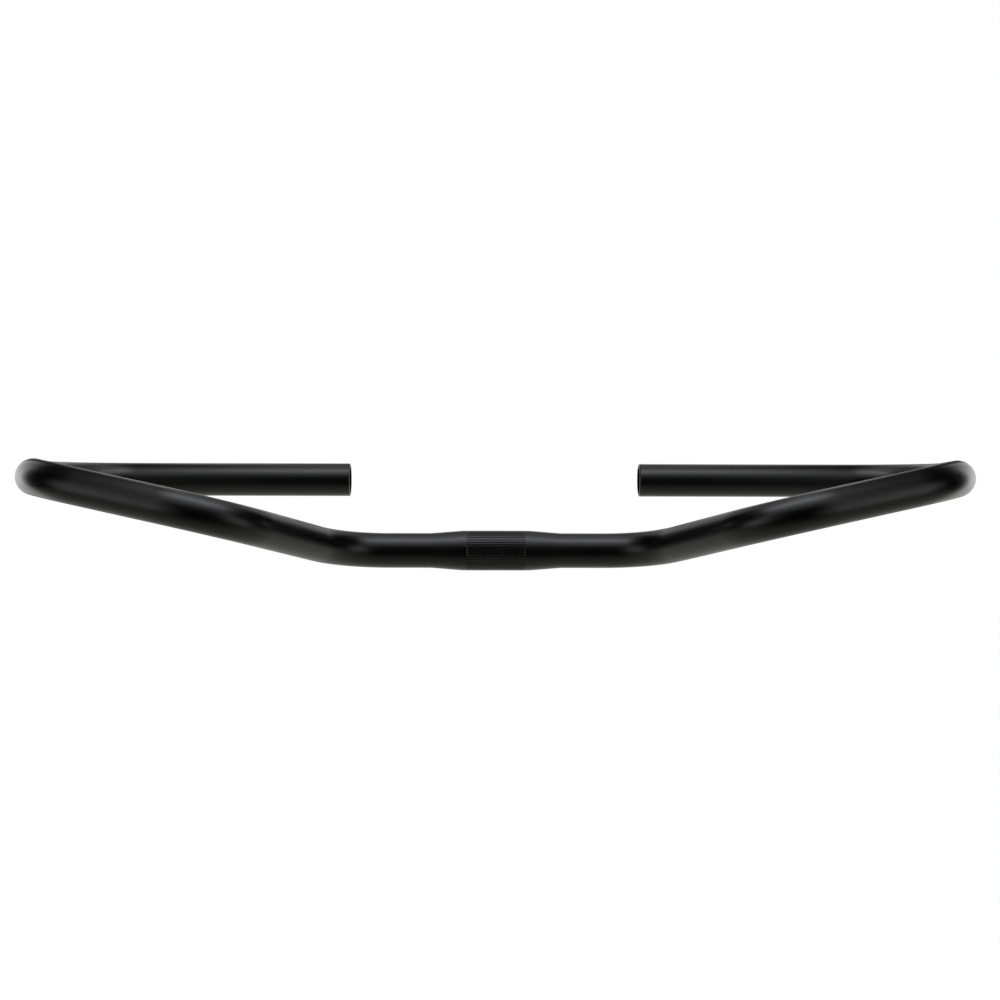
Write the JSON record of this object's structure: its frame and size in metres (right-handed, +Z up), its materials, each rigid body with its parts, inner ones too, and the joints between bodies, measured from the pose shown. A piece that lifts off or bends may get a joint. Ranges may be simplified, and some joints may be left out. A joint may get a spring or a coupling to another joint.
{
  "type": "butterfly handlebar",
  "caption": "Bent tubular butterfly handlebar with looped wings, open-ended grip runs facing the rider and a knurled, thickened centre for the stem clamp.",
  "frame": {"origin": "centre of the stem clamp, on the tube's axis", "axes": "+X along the stem clamp, towards the rider's left; +Y towards the rider, where the grips are; +Z up"},
  "size_m": [0.6056, 0.2014, 0.0698],
  "materials": {
    "satin_black": "satin black anodised"
  },
  "bodies": {
    "root": {"handlebar_tube": "satin_black"}
  },
  "joints": []
}
